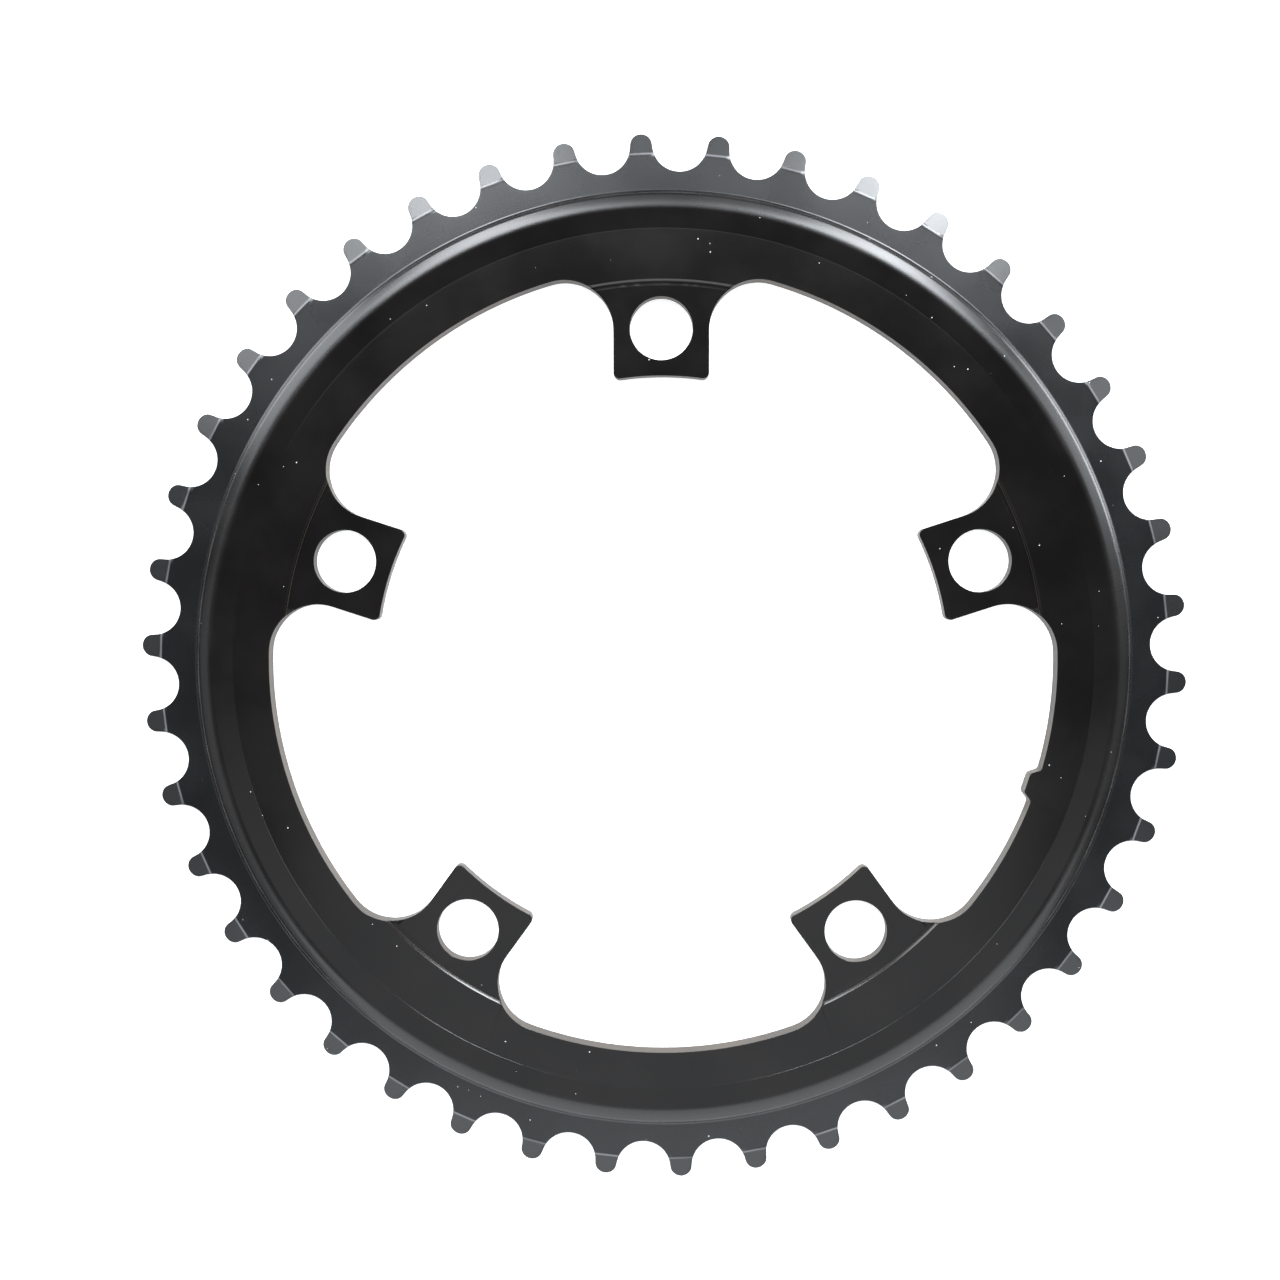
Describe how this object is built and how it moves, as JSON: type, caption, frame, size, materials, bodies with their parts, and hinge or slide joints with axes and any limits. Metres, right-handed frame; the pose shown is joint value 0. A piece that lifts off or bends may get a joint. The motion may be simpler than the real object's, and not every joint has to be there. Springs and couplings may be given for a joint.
{
  "type": "bicycle chainring",
  "caption": "Flat toothed ring for a bicycle crank, with a raised rounded rim and short arms that point inwards and carry the bolt holes.",
  "frame": {"origin": "where the crank axis meets the flat back face that the ring lies on", "axes": "+Z along the crank axis, out through the front face; +Y along the arm at the top of the front view"},
  "size_m": [0.1732, 0.173, 0.0033],
  "materials": {
    "black_anodised": "satin black anodised"
  },
  "bodies": {
    "root": {"chainring": "black_anodised"}
  },
  "joints": []
}
